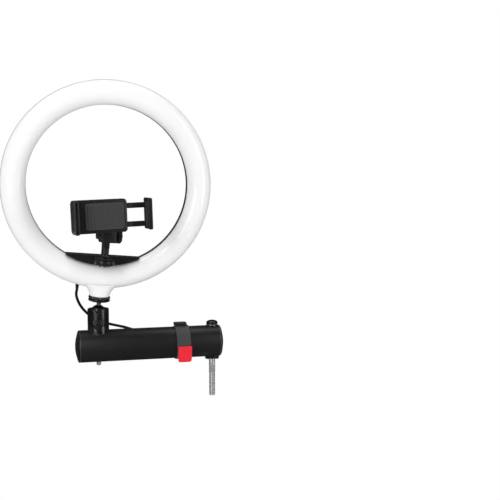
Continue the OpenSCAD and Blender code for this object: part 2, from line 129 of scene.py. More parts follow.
def fillet(points, radius, steps=4, closed=True):
    """The outline with its corners rounded; radius is one number or one for each corner."""
    radii = radius if hasattr(radius, "__len__") else [radius] * len(points)
    out = []
    for i, p in enumerate(points):
        if not closed and i in (0, len(points) - 1) or radii[i] <= 0:
            out.append(tuple(p))
            continue
        p = np.array(p, float)
        before = np.array(points[i - 1], float) - p
        after = np.array(points[(i + 1) % len(points)], float) - p
        la, lb = np.linalg.norm(before), np.linalg.norm(after)
        before, after = before / la, after / lb
        half = math.acos(max(-1, min(1, before @ after))) / 2
        if half > 1.54:
            out.append(tuple(p))
            continue
        cut = min(radii[i] / math.tan(half), 0.48 * la, 0.48 * lb)
        bulge = cut * math.tan(half)
        middle = before + after
        centre = p + middle / np.linalg.norm(middle) * bulge / math.sin(half)
        start, end = p + before * cut - centre, p + after * cut - centre
        a0, a1 = math.atan2(start[1], start[0]), math.atan2(end[1], end[0])
        sweep = (a1 - a0 + math.pi) % (2 * math.pi) - math.pi
        for k in range(steps + 1):
            a = a0 + sweep * k / steps
            out.append(tuple(centre + bulge * np.array((math.cos(a), math.sin(a)))))
    return out


def arc(r, start, end, n, x=0, y=0):
    """Points on a circle about x, y, from one angle to the other in degrees."""
    return [(x + r * math.cos(a), y + r * math.sin(a)) for a in np.radians(np.linspace(start, end, n))]


def lathe(profile, n=96, ripple=None):
    """A closed profile of (radius, height) turned about Z; ripple(angle, radius, height) moves a radius."""
    verts, rows = [], []
    for r, h in profile:
        if r < 1e-6:
            rows.append([len(verts)] * n)
            verts.append((0.0, 0.0, h))
            continue
        rows.append(list(range(len(verts), len(verts) + n)))
        for k in range(n):
            a = 2 * math.pi * k / n
            q = ripple(a, r, h) if ripple else r
            verts.append((q * math.cos(a), q * math.sin(a), h))
    faces = []
    for i in range(len(rows)):
        a, b = rows[i], rows[(i + 1) % len(rows)]
        for k in range(n):
            j = (k + 1) % n
            quad = []
            for v in (a[k], a[j], b[j], b[k]):
                if v not in quad:
                    quad.append(v)
            if len(quad) > 2:
                faces.append(quad)
    return verts, faces


def rod(r, low, high, edge=0.4, n=48):
    """A round rod along Z with soft ends."""
    profile = [(0, low), (r, low), (r, high), (0, high)]
    return lathe(fillet(profile, [0, edge, edge, 0], 3), n)


def tube(r, inner, low, high, edge=0.3, n=64):
    return lathe(fillet([(inner, low), (r, low), (r, high), (inner, high)], edge, 3), n)


def belt(a, b, n):
    """The faces between two rings of n vertices, which start at a and b."""
    return [[a + k, a + (k + 1) % n, b + (k + 1) % n, b + k] for k in range(n)]


def slab(outline, low, high, edge=0.5, steps=3):
    """An outline in XY, counter-clockwise, raised along Z from low to high, with soft edges."""
    points = np.array(outline, float)
    n = len(points)
    along = np.roll(points, -1, 0) - np.roll(points, 1, 0)
    along /= np.linalg.norm(along, axis=1)[:, None]
    inward = np.stack([-along[:, 1], along[:, 0]], 1)
    loops = []
    for s in range(steps + 1):
        a = math.pi / 2 * s / steps
        loops.append((edge * (1 - math.sin(a)), low + edge * (1 - math.cos(a))))
    loops += [(inset, low + high - h) for inset, h in reversed(loops)]
    verts = [(*p, h) for inset, h in loops for p in points + inward * inset]
    faces = [list(range(n - 1, -1, -1))]
    for i in range(len(loops) - 1):
        faces += belt(i * n, (i + 1) * n, n)
    faces.append([(len(loops) - 1) * n + k for k in range(n)])
    return verts, faces


def round_box(low, high, corner=1.0, edge=0.5, axis="Z"):
    """A box with round upright corners and soft edges, raised along the given axis."""
    low, high = Vector(low), Vector(high)
    turn = {"Z": HERE, "Y": turned(90, "X"), "X": turned(90, "X") @ turned(90, "Y")}[axis]
    back = turn.inverted()
    a, b = back @ low, back @ high
    lo, hi = Vector(map(min, a, b)), Vector(map(max, a, b))
    corners = [(lo.x, lo.y), (hi.x, lo.y), (hi.x, hi.y), (lo.x, hi.y)]
    verts, faces = slab(fillet(corners, corner, 4), lo.z, hi.z, edge)
    return moved((verts, faces), turn)


def moved(part, matrix):
    verts, faces = part
    return [tuple(matrix @ Vector(v)) for v in verts], faces


def put(part, x=0, y=0, z=0):
    return moved(part, Matrix.Translation((x, y, z)))


def along_x(part, x=0):
    return moved(part, Matrix.Translation((x, 0, 0)) @ turned(90, "Y"))


def along_y(part, y=0):
    """Height becomes +Y."""
    return moved(part, Matrix.Translation((0, y, 0)) @ turned(-90, "X"))


def to_front(part):
    """Height becomes depth towards the front, -Y."""
    return moved(part, turned(90, "X"))


def sweep(path, radius, n=16, closed=False):
    """A round tube along a path, without twist; returns its vertices and faces."""
    p = np.array(path, float)
    t = np.gradient(p, axis=0)
    if closed:
        t = np.roll(p, -1, 0) - np.roll(p, 1, 0)
    t /= np.linalg.norm(t, axis=1)[:, None]
    side = np.cross(t[0], (0.13, 0.99, 0.07))
    rings = []
    for i in range(len(p)):
        side = side - (side @ t[i]) * t[i]
        side /= np.linalg.norm(side)
        other = np.cross(t[i], side)
        r = radius(i / (len(p) - 1)) if callable(radius) else radius
        for k in range(n):
            a = 2 * math.pi * k / n
            rings.append(tuple(p[i] + r * (math.cos(a) * side + math.sin(a) * other)))
    faces = []
    for i in range(len(p) - (0 if closed else 1)):
        faces += belt(i * n, (i + 1) % len(p) * n, n)
    if not closed:
        faces.append(list(range(n - 1, -1, -1)))
        faces.append([(len(p) - 1) * n + k for k in range(n)])
    return rings, faces


def smooth_path(points, step=1.2):
    """An even path through the points, on one smooth curve."""
    p = np.array(points, float)
    ends = np.vstack([2 * p[0] - p[1], p, 2 * p[-1] - p[-2]])
    out = []
    for i in range(1, len(ends) - 2):
        a, b, c, d = ends[i - 1 : i + 3]
        for s in np.linspace(0, 1, 12, endpoint=False):
            bend, twist = 2 * a - 5 * b + 4 * c - d, 3 * b - a - 3 * c + d
            out.append(0.5 * (2 * b + (c - a) * s + bend * s**2 + twist * s**3))
    out.append(p[-1])
    return even(out, step)


def even(points, step):
    p = np.array(points, float)
    run = np.concatenate([[0], np.cumsum(np.linalg.norm(np.diff(p, axis=0), axis=1))])
    marks = np.linspace(0, run[-1], max(2, round(run[-1] / step) + 1))
    return np.stack([np.interp(marks, run, p[:, k]) for k in range(3)], 1)


def build(name, parts, look, matrix=HERE, sharp=SMOOTH_BELOW):
    """One mesh object from several closed parts, placed by a matrix, in metres."""
    verts, faces = [], []
    for part_verts, part_faces in parts:
        start = len(verts)
        verts += [tuple(matrix @ Vector(v) * MM) for v in part_verts]
        faces += [[start + i for i in f] for f in part_faces]
    mesh = bpy.data.meshes.new(name)
    mesh.from_pydata(verts, [], faces)
    face_out(mesh)
    mesh.shade_smooth()
    mesh.set_sharp_from_angle(angle=math.radians(sharp))
    mesh.materials.append(LOOKS[look])
    thing = bpy.data.objects.new(name, mesh)
    bpy.context.scene.collection.objects.link(thing)
    return thing


def face_out(mesh):
    bm = bmesh.new()
    bm.from_mesh(mesh)
    bmesh.ops.recalc_face_normals(bm, faces=bm.faces)
    bm.to_mesh(mesh)
    bm.free()


def cut(thing, cutters, matrix=HERE):
    """Takes the cutters' space out of a piece and keeps the result as its mesh."""
    for cutter in cutters:
        tool = build("cutter", [cutter], finish_of(thing), matrix)
        step = thing.modifiers.new("cut", "BOOLEAN")
        step.operation, step.solver, step.object = "DIFFERENCE", "EXACT", tool
        bake(thing)
        bpy.data.objects.remove(tool)
    thing.data.shade_smooth()
    thing.data.set_sharp_from_angle(angle=math.radians(SMOOTH_BELOW))


def bake(thing):
    graph = bpy.context.evaluated_depsgraph_get()
    mesh = bpy.data.meshes.new_from_object(thing.evaluated_get(graph))
    old = thing.data
    thing.modifiers.clear()
    thing.data = mesh
    bpy.data.meshes.remove(old)
    mesh.name = thing.name


def finish_of(thing):
    """The name of a piece's finish, without the number that Blender may add to it."""
    return thing.data.materials[0].name.split(".")[0]


def fit_on(thing, body, *nodes, slot=None):
    """The piece moves with the body and stands for the nodes, which it hides; the slot argument is not used."""
    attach(thing, body)
    if nodes:
        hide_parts(*nodes)


# ---- shader groups ----


def group(name, inputs, outputs):
    tree = bpy.data.node_groups.new(name, "ShaderNodeTree")
    for label, value in inputs:
        socket = tree.interface.new_socket(label, in_out="INPUT", socket_type="NodeSocketFloat")
        socket.default_value = value
    for label in outputs:
        tree.interface.new_socket(label, in_out="OUTPUT", socket_type="NodeSocketFloat")
    return tree, tree.nodes.new("NodeGroupInput"), tree.nodes.new("NodeGroupOutput")


def math_node(tree, operation, a, b=None, clamp=False):
    node = tree.nodes.new("ShaderNodeMath")
    node.operation, node.use_clamp = operation, clamp
    for i, value in enumerate((a, b)):
        if value is None:
            continue
        if hasattr(value, "is_linked"):
            tree.links.new(value, node.inputs[i])
        else:
            node.inputs[i].default_value = value
    return node.outputs[0]


def spread(tree, value, low, high, to_low=0.0, to_high=1.0):
    node = tree.nodes.new("ShaderNodeMapRange")
    node.inputs["From Min"].default_value, node.inputs["From Max"].default_value = low, high
    node.inputs["To Min"].default_value, node.inputs["To Max"].default_value = to_low, to_high
    tree.links.new(value, node.inputs["Value"])
    return node.outputs["Result"]


def noise(tree, vector, scale, detail=3.0, rough=0.55):
    node = tree.nodes.new("ShaderNodeTexNoise")
    node.inputs["Detail"].default_value = detail
    node.inputs["Roughness"].default_value = rough
    tree.links.new(vector, node.inputs["Vector"])
    if hasattr(scale, "is_linked"):
        tree.links.new(scale, node.inputs["Scale"])
    else:
        node.inputs["Scale"].default_value = scale
    return node.outputs["Fac"]


def make_grain():
    """Fine moulded or sprayed grain, and a slow drift over the whole surface."""
    tree, inside, out = group("surface_grain", [("Scale", 900.0), ("Drift", 14.0)], ["Grain", "Drift"])
    place = tree.nodes.new("ShaderNodeTexCoord").outputs["Object"]
    grain = noise(tree, place, inside.outputs["Scale"], 4.0, 0.6)
    drift = noise(tree, place, inside.outputs["Drift"], 2.0, 0.5)
    tree.links.new(spread(tree, grain, 0.25, 0.75), out.inputs["Grain"])
    tree.links.new(spread(tree, drift, 0.3, 0.7), out.inputs["Drift"])
    return tree


def make_rub():
    """Where hands and neighbours rub: the convex edges, broken up by noise."""
    tree, inside, out = group("edge_rub", [("Amount", 1.0)], ["Rub"])
    shape = tree.nodes.new("ShaderNodeNewGeometry").outputs["Pointiness"]
    place = tree.nodes.new("ShaderNodeTexCoord").outputs["Object"]
    edge = spread(tree, shape, 0.53, 0.62)
    patch = spread(tree, noise(tree, place, 160.0, 4.0, 0.7), 0.42, 0.62)
    mask = math_node(tree, "MULTIPLY", edge, patch)
    mask = math_node(tree, "MULTIPLY", mask, inside.outputs["Amount"], True)
    tree.links.new(mask, out.inputs["Rub"])
    return tree


def make_weave():
    """A plain weave of crossing threads, with its height and a shade that darkens the colour where the weave is
    low: painted shade in the gaps between threads.
    """
    threads = [("Across", 1200.0), ("Along", 1200.0)]
    tree, inside, out = group("weave", threads, ["Height", "Shade"])
    place = tree.nodes.new("ShaderNodeTexCoord").outputs["Object"]
    split = tree.nodes.new("ShaderNodeSeparateXYZ")
    tree.links.new(place, split.inputs[0])
    slope = math_node(tree, "MULTIPLY", split.outputs["Y"], 0.7)
    high = math_node(tree, "ADD", split.outputs["Z"], slope)
    wide = math_node(tree, "MULTIPLY", split.outputs["X"], inside.outputs["Across"])
    u = math_node(tree, "SINE", wide)
    v = math_node(tree, "SINE", math_node(tree, "MULTIPLY", high, inside.outputs["Along"]))
    cross = math_node(tree, "MULTIPLY", u, v)
    fuzz = noise(tree, place, 2600.0, 3.0, 0.7)
    fuzz = math_node(tree, "MULTIPLY", fuzz, 0.6)
    height = math_node(tree, "ADD", spread(tree, cross, -1.0, 1.0), fuzz)
    tree.links.new(height, out.inputs["Height"])
    # Colour from height: the low places between threads are darker, which is painted shade.
    tree.links.new(spread(tree, height, 0.2, 1.4), out.inputs["Shade"])
    return tree


def make_brushing():
    """Fine turned or brushed lines along one direction of the piece."""
    tree, inside, out = group("brushing", [("Scale", 2200.0)], ["Lines"])
    place = tree.nodes.new("ShaderNodeTexCoord").outputs["Object"]
    stretch = tree.nodes.new("ShaderNodeMapping")
    stretch.inputs["Scale"].default_value = (0.06, 0.06, 1.0)
    tree.links.new(place, stretch.inputs["Vector"])
    lines = noise(tree, stretch.outputs["Vector"], inside.outputs["Scale"], 2.0, 0.5)
    tree.links.new(spread(tree, lines, 0.3, 0.7), out.inputs["Lines"])
    return tree


GRAIN, RUB, WEAVE, BRUSHING = make_grain(), make_rub(), make_weave(), make_brushing()


def new_look(name):
    look = bpy.data.materials.new(name)
    look.use_nodes = True
    return look, look.node_tree, look.node_tree.nodes["Principled BSDF"]


def place_group(tree, made, **values):
    node = tree.nodes.new("ShaderNodeGroup")
    node.node_tree = made
    for label, value in values.items():
        node.inputs[label].default_value = value
    return node


def mixed(tree, mask, low, high):
    node = tree.nodes.new("ShaderNodeMix")
    node.data_type = "RGBA"
    tree.links.new(mask, node.inputs["Factor"])
    node.inputs["A"].default_value = (*low, 1)
    node.inputs["B"].default_value = (*high, 1)
    return node.outputs["Result"]


def mixed_onto(tree, mask, below, high):
    node = tree.nodes.new("ShaderNodeMix")
    node.data_type = "RGBA"
    tree.links.new(mask, node.inputs["Factor"])
    tree.links.new(below, node.inputs["A"])
    node.inputs["B"].default_value = (*high, 1)
    return node.outputs["Result"]


def bumped(tree, shader, height, depth):
    bump = tree.nodes.new("ShaderNodeBump")
    bump.inputs["Strength"].default_value = 1.0
    bump.inputs["Distance"].default_value = depth
    tree.links.new(height, bump.inputs["Height"])
    tree.links.new(bump.outputs["Normal"], shader.inputs["Normal"])


def moulded(name, low, high, rough, grain=900.0, depth=0.00002, rub=0.5, rubbed=None, level=0.5):
    """Moulded plastic, paint or anodising: two close colours, a grain and rubbed edges."""
    look, tree, shader = new_look(name)
    surface = place_group(tree, GRAIN, Scale=grain)
    edges = place_group(tree, RUB, Amount=rub)
    colour = mixed(tree, surface.outputs["Drift"], low, high)
    rubbed = rubbed or tuple(min(1, 1.8 * c + 0.02) for c in high)
    colour = mixed_onto(tree, edges.outputs["Rub"], colour, rubbed)
    tree.links.new(colour, shader.inputs["Base Color"])
    gloss = spread(tree, surface.outputs["Grain"], 0.0, 1.0, rough[0], rough[1])
    tree.links.new(gloss, shader.inputs["Roughness"])
    shader.inputs["Specular IOR Level"].default_value = level
    bumped(tree, shader, surface.outputs["Grain"], depth)
    return look


def metal(name, low, high, rough, metallic=1.0):
    look, tree, shader = new_look(name)
    lines = place_group(tree, BRUSHING, Scale=2200.0)
    surface = place_group(tree, GRAIN, Scale=500.0)
    tree.links.new(mixed(tree, surface.outputs["Drift"], low, high), shader.inputs["Base Color"])
    tree.links.new(spread(tree, lines.outputs["Lines"], 0, 1, *rough), shader.inputs["Roughness"])
    shader.inputs["Metallic"].default_value = metallic
    bumped(tree, shader, lines.outputs["Lines"], 0.000006)
    return look


def woven(name, low, high, across, along, depth, sheen):
    look, tree, shader = new_look(name)
    cloth = place_group(tree, WEAVE, Across=across, Along=along)
    surface = place_group(tree, GRAIN, Scale=2400.0, Drift=60.0)
    # Darker where the weave is low: painted shade between the threads, not the threads' own colour.
    colour = mixed(tree, cloth.outputs["Shade"], low, high)
    colour = mixed_onto(tree, math_node(tree, "MULTIPLY", surface.outputs["Drift"], 0.3), colour, high)
    tree.links.new(colour, shader.inputs["Base Color"])
    shader.inputs["Roughness"].default_value = 0.85
    shader.inputs["Sheen Weight"].default_value = sheen
    shader.inputs["Sheen Roughness"].default_value = 0.5
    bumped(tree, shader, cloth.outputs["Height"], depth)
    return look


def milky(name):
    """The diffuser: glossy, cloudy white, with light carried through the shell."""
    look, tree, shader = new_look(name)
    surface = place_group(tree, GRAIN, Scale=260.0, Drift=9.0)
    colour = mixed(tree, surface.outputs["Drift"], (0.88, 0.88, 0.875), (0.93, 0.93, 0.925))
    tree.links.new(colour, shader.inputs["Base Color"])
    tree.links.new(spread(tree, surface.outputs["Grain"], 0, 1, 0.15, 0.2), shader.inputs["Roughness"])
    shader.inputs["Subsurface Weight"].default_value = 0.25
    shader.inputs["Subsurface Radius"].default_value = (0.004, 0.004, 0.004)
    shader.inputs["Subsurface Scale"].default_value = 1.0
    bumped(tree, shader, surface.outputs["Grain"], 0.000004)
    return look


def make_looks():
    """Every finish, by the record's slot name: its two colours, its roughness, then the maker's rest."""
    plastics = {
        "housing_black": ((0.012, 0.012, 0.013), (0.019, 0.019, 0.02), (0.42, 0.56), 1100, 0.00003),
        "white_plastic": ((0.84, 0.84, 0.835), (0.9, 0.9, 0.895), (0.34, 0.42), 700, 0.000006, 0.0),
        "board_white": ((0.8, 0.81, 0.8), (0.86, 0.87, 0.86), (0.22, 0.3), 900, 0.000004, 0.0),
        "chip_yellow": ((0.85, 0.72, 0.25), (0.9, 0.8, 0.38), (0.4, 0.5), 1500, 0.00001, 0.0),
        "key_grey": ((0.34, 0.35, 0.36), (0.4, 0.41, 0.42), (0.42, 0.52), 1200, 0.00001, 0.3),
        "cable_rubber": (
            (0.005, 0.005, 0.0055), (0.009, 0.009, 0.0095), (0.38, 0.48), 1400, 0.000012,
            0.0, None, 0.35,
        ),
        "lead_red": ((0.5, 0.02, 0.02), (0.6, 0.04, 0.04), (0.35, 0.45), 900, 0.00001, 0.0),
        "holder_black": ((0.008, 0.008, 0.0085), (0.014, 0.014, 0.0148), (0.28, 0.4), 1300, 0.000012, 0.4),
        "pad_rubber": ((0.03, 0.03, 0.031), (0.045, 0.045, 0.046), (0.62, 0.78), 1500, 0.00003, 0.2),
        "head_black": (
            (0.0016, 0.0016, 0.0018), (0.0035, 0.0035, 0.0038), (0.25, 0.33), 1800, 0.000002,
            0.7, (0.1, 0.1, 0.1), 0.95,
        ),
        "cup_nylon": ((0.74, 0.72, 0.62), (0.8, 0.78, 0.7), (0.4, 0.5), 800, 0.00001, 0.0),
        "tube_black": (
            (0.0095, 0.0095, 0.01), (0.0145, 0.0145, 0.0153), (0.36, 0.46), 1600, 0.00001,
            0.3, (0.05, 0.05, 0.05), 0.4,
        ),
        "cap_black": (
            (0.005, 0.005, 0.0055), (0.009, 0.009, 0.0098), (0.2, 0.3), 1300, 0.000006,
            0.5, (0.05, 0.05, 0.05),
        ),
        "buckle_black": ((0.01, 0.01, 0.011), (0.016, 0.016, 0.017), (0.25, 0.36), 1200, 0.00001, 0.5),
        "plug_black": ((0.016, 0.016, 0.017), (0.024, 0.024, 0.025), (0.45, 0.58), 1200, 0.00002, 0.3),
        "tongue_white": ((0.8, 0.8, 0.79), (0.86, 0.86, 0.85), (0.35, 0.45), 900, 0.00001, 0.0),
    }
    metals = {
        "switch_metal": ((0.6, 0.6, 0.61), (0.68, 0.68, 0.68), (0.3, 0.42)),
        "screw_steel": ((0.5, 0.5, 0.51), (0.6, 0.6, 0.61), (0.24, 0.4)),
        "brass_insert": ((0.66, 0.48, 0.2), (0.76, 0.58, 0.28), (0.25, 0.4)),
        "stem_steel": ((0.72, 0.72, 0.73), (0.82, 0.82, 0.83), (0.12, 0.24)),
        "bolt_steel": ((0.6, 0.6, 0.61), (0.72, 0.72, 0.73), (0.22, 0.38), 0.7),
        # The seam rings at the tube ends: a lighter grey painted as the highlight along the rim.
        "rim_grey": ((0.16, 0.16, 0.165), (0.22, 0.22, 0.225), (0.34, 0.46), 0.6),
        "plug_metal": ((0.66, 0.66, 0.67), (0.76, 0.76, 0.77), (0.16, 0.28)),
    }
    cloths = {
        "strap_grey": ((0.018, 0.018, 0.019), (0.07, 0.07, 0.072), 5200, 5200, 0.0002, 0.15),
        "strap_red": ((0.62, 0.003, 0.014), (0.96, 0.01, 0.032), 5600, 5600, 0.00016, 0.05),
    }
    for maker, finishes in ((moulded, plastics), (metal, metals), (woven, cloths)):
        for name, values in finishes.items():
            LOOKS[name] = maker(name, *values)
    LOOKS["milky_diffuser"] = milky("milky_diffuser")


def dress_frame_nodes():
    """Gives each part of the frame the finish of its slot."""
    slots = {row["node"]: row["material_slot"] for row in frame["record"]["subparts"]}
    for name, node in frame["nodes"].items():
        node.data.materials.clear()
        node.data.materials.append(LOOKS[slots[name]])


# ---- cable, hank and plug ----

SPAN = [
    (-169, 13.8, 93.6), (-170, 14.6, 86), (-167.5, 15.6, 77), (-163, 17, 69), (-157, 18.4, 62),
    (-150.5, 20.2, 56), (-143, 21.4, 51.6), (-135, 21.8, 48.4), (-127, 21.6, 46),
    (-119, 21.1, 44), (-111, 20.6, 42), (-104, 20.3, 39.8), (-97, 20.2, 37.2),
]
RUN = [
    (-97, 20.2, 37.2), (-90, 20.8, 34.8), (-82, 21.6, 33.2), (-73, 22.2, 32.7), (-64, 22.4, 32.7),
]
TAIL = [(-24, 34.4, 5.3), (-28, 36.4, 6.2), (-32, 38.4, 8), (-35.5, 39.2, 9.6), (PLUG_X, PLUG_Y, PLUG_Z)]


def hank_turns():
    """The turns of the hank: two side by side and four deep, wound out and back."""
    order = [0, 1, 1, 0, 0, 1, 1, 0]
    points = []
    for turn, which in enumerate(order):
        r, y = TURN_R[which], HANK_Y + PITCH / 2 + PITCH * (turn // 2)
        last = turn == len(order) - 1
        r2 = TURN_R[order[turn + 1]] if not last else r
        y2 = HANK_Y + PITCH / 2 + PITCH * ((turn + 1) // 2)
        left, right = HANK_X - HANK_HALF, HANK_X + HANK_HALF
        for s in np.linspace(0, 1, 13)[:-1]:
            points.append((left + (right - left) * s, y, HANK_Z + r))
        for s in np.linspace(0, 1, 25)[:-1]:
            a = math.pi * (0.5 - s)
            points.append((right + r * math.cos(a), y, HANK_Z + r * math.sin(a)))
        if last:
            points.append((right, y, HANK_Z - r))
            break
        for s in np.linspace(0, 1, 13)[:-1]:
            points.append((right + (left - right) * s, y, HANK_Z - r))
        for s in np.linspace(0, 1, 25)[:-1]:
            a = math.pi * (1.5 - s)
            ease = s * s * (3 - 2 * s)
            q = r + (r2 - r) * ease
            points.append((left + q * math.cos(a), y + (y2 - y) * ease, HANK_Z + q * math.sin(a)))
    return points


def tube_piece(name, path, look):
    return build(name, [sweep(path, CORD_D / 2)], look, sharp=60)


def make_cable():
    """The cable from the gland to the plug: three stretches along the span, then one that lies still on the
    boom.
    """
    whole = smooth_path(SPAN, 1.2)
    stops = [int(np.argmin(np.linalg.norm(whole - np.array(SPAN[i]), axis=1))) for i in (0, 4, 8, 12)]
    joints = [("ring", "ball"), ("ball", "cup"), ("cup", "boom")]
    for i, (a, b) in enumerate(joints):
        path = whole[stops[i] : stops[i + 1] + 1]
        piece = tube_piece(f"cable_bend_{i + 1}", path, "cable_rubber")
        if i == 0:
            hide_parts("cable_span")
        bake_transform(piece)
    turns = hank_turns()
    path = smooth_path(RUN + turns + TAIL, 1.3)
    rest = tube_piece("cable_rest", path, "cable_rubber")
    plug = make_plug()
    fit_on(rest, "boom", "cable_run", "cable_hank", "cable_tail")


def make_plug():
    at = Matrix.Translation((PLUG_X, PLUG_Y, PLUG_Z)) @ turned(-90, "Y")
    relief = []
    for i in range(5):
        z = 0.6 + 1.35 * i
        r = 1.95 + 0.22 * i
        relief += [(r, z), (r, z + 0.85), (r - 0.4, z + 0.95), (r - 0.3, z + 1.3)]
    profile = [(0, 0.3), (1.75, 0.3)] + relief + [(2.9, 7.2), (0, 7.2)]
    boot = build("plug_boot", [lathe(profile, 48)], "plug_black", at)
    corners = [(-3.6, -7), (3.6, -7), (3.6, 7), (-3.6, 7)]
    body = slab(fillet(corners, 2.0, 5), 7, 27, 0.8)
    rib = fillet([(3.3, -4.5), (3.62, -4.5), (3.62, 4.5), (3.3, 4.5)], 0.1, 2)
    ribs = [slab(rib, 10 + 2 * i, 11 + 2 * i, 0.1) for i in range(5)]
    grip = build("plug_body", [body] + ribs, "plug_black", at)
    for thing, node in ((boot, "plug_relief"), (grip, "plug_grip")):
        fit_on(thing, "boom", node)
    return [boot, grip, "plug_shell", "plug_tongue"]


# ---- the ring ----


def dome(t, inset=0.0):
    a = math.radians(t)
    lift = RIM_FRONT + (INNER_FRONT - RIM_FRONT) * (1 - math.cos(a)) / 2
    return DOME_MID + (DOME_HALF - inset) * math.cos(a), lift + (DOME_RISE - inset) * math.sin(a)


def make_diffuser():
    outside = [dome(t) for t in np.linspace(0, 180, 61)]
    inside = [dome(t, 1.8) for t in np.linspace(180, 0, 31)]
    skirt = [(RING_R - 2.2, RIM_FRONT - 0.1), (RING_R - 0.3, RIM_FRONT - 0.1)]
    shell = to_front(lathe(outside + inside + skirt, 256))
    diffuser = build("diffuser_shell", [shell], "milky_diffuser", AT_RING, sharp=50)
    fit_on(diffuser, "ring", "diffuser")


def ring_spot(radius, angle, part):
    """A part that stands along the ring's depth, at a radius and an angle."""
    a = math.radians(angle)
    return to_front(put(part, radius * math.cos(a), radius * math.sin(a)))


def make_housing():
    back = RING_BACK
    outline = [
        (RING_IN, back), (102.2, back), (102.5, back + 0.5), (103.5, back + 0.5), (103.8, back),
        (118.0, back), (118.2, back + 0.3), (118.8, back + 0.3), (119.0, back),
        (RING_R - 7.6, back), (RING_R - 4.4, back + 2.6), (RING_R - 0.05, RIM_FRONT - 1.6),
        (RING_R - 0.05, RIM_FRONT - 0.3), (RING_R - 2.7, RIM_FRONT - 0.3), (RING_R - 8, back + 2),
        (RING_IN + 2.2, back + 2), (RING_IN + 2.2, INNER_FRONT - 0.15), (RING_IN + 0.1, INNER_FRONT - 0.15),
    ]
    soft = [1.2, 0.2, 0.2, 0.2, 0.2, 0.2, 0.2, 0.2, 0.2, 2.5, 2.0, 0.3, 0.2, 0, 0, 0, 0.2, 0.3]
    shell = to_front(lathe(fillet(outline, soft, 3), 256))
    housing = build("rear_shell", [shell], "housing_black", AT_RING)
    holes = []
    for i in range(8):
        holes.append(ring_spot(SCREW_R, 45 * i, rod(1.6, back - 1, back + 3, 0, 24)))
        holes.append(ring_spot(SCREW_R, 45 * i, rod(3.1, back - 1, back + 1.2, 0, 32)))
    for angle in BUTTON_ANGLES.values():
        holes.append(ring_spot(SCREW_R, angle, rod(3.7, back - 1, back + 3, 0, 40)))
    one = ([], [])
    for verts, faces in holes:
        start = len(one[0])
        one = (one[0] + verts, one[1] + [[start + i for i in f] for f in faces])
    cut(housing, [one], AT_RING)
    fit_on(housing, "ring", "rear_housing")
    rim = tube(4.5, 3.75, back - 0.35, back + 0.6, 0.2, 48)
    rims = [ring_spot(SCREW_R, angle, rim) for angle in BUTTON_ANGLES.values()]
    fit_on(build("button_rims", rims, "housing_black", AT_RING), "ring")


def make_buttons():
    back = RING_BACK
    bar = round_box((-1.5, -0.28, back - 1.5), (1.5, 0.28, back - 1.1), 0.2, 0.1)
    post = round_box((-0.28, -1.5, back - 1.5), (0.28, 1.5, back - 1.1), 0.2, 0.1)
    circle = tube(1.5, 1.0, back - 1.5, back - 1.1, 0.1, 32)
    marks = {"power": [circle], "brighter": [bar, post], "dimmer": [bar]}
    for name, angle in BUTTON_ANGLES.items():
        profile = [
            (0, back - 1.15), (2.2, back - 1.25), (3.4, back - 1.3), (3.4, back + 2.3),
            (4.6, back + 2.3), (4.6, back + 3.3), (0, back + 3.3),
        ]
        key = lathe(fillet(profile, [0, 0, 0.7, 0, 0.2, 0.2, 0], 4), 48)
        parts = [ring_spot(SCREW_R, angle, part) for part in [key] + marks[name]]
        fit_on(build(f"{name}_key", parts, "key_grey", AT_RING), name, f"{name}_button")


def ring_cutter():
    """The ring's own space, a little larger, to cut what sits on it."""
    outline = [(90, 14), (DOME_MID, 14)] + [dome(t, -0.05) for t in range(75, -1, -5)]
    outline += [
        (RING_R - 0.5, RIM_FRONT - 0.6), (RING_R - 4.4, RING_BACK + 2.6), (RING_R - 6.4, RING_BACK + 0.6),
        (RING_R - 8, RING_BACK), (RING_R - 8, -20), (90, -20),
    ]
    return to_front(lathe(outline, 256))


def make_boss():
    low = BOSS_LOW
    side = [
        (0, low), (11.9, low), (12.4, low + 0.5), (12.6, low + 2.6), (13.2, low + 4.2), (14.6, low + 7),
        (16.6, low + 10), (18.6, low + 12.6), (19.6, low + 14.2), (19.4, low + 15.4), (0, low + 15.4),
    ]

    def squeeze(a, r, h):
        rise = max(0.0, min(1.0, (h - low - 2.6) / 10))
        return r * (1 - rise * 0.36 * abs(math.sin(a)) ** 2.4)

    flare = lathe(fillet(side, [0, 0.4, 0.6, 1.5, 2, 3, 3, 2, 0.6, 0.6, 0], 3), 128, squeeze)
    boss = build("stand_boss", [flare], "white_plastic", AT_RING)
    cut(boss, [ring_cutter(), put(rod(5.5, low - 1, low + 8, 0, 48))], AT_RING)
    fit_on(boss, "ring", "mount_boss")


def make_gland():
    plate = round_box((-5, 12.9, -119), (5, 15, -105), 2, 0.6, "Y")
    block = round_box((-3.9, 14.5, -119.3), (3.9, 19.6, -108), 1.6, 0.9)
    sleeve = [(0, -132.3), (1.95, -132.3)]
    for i in range(6):
        z, r = -131.6 + 2.0 * i, 2.0 + 0.24 * i
        sleeve += [(r, z), (r, z + 1.3), (r - 0.45, z + 1.45), (r - 0.35, z + 1.9)]
    sleeve += [(3.4, -119.4), (3.4, -118.5), (0, -118.5)]
    relief = put(lathe(sleeve, 48), 0, 16, 0)
    at = AT_RING @ Matrix.Translation((GLAND_X, 0, 0))
    gland = build("cable_gland_boot", [plate, block, relief], "cable_rubber", at)
    fit_on(gland, "ring", "cable_gland")


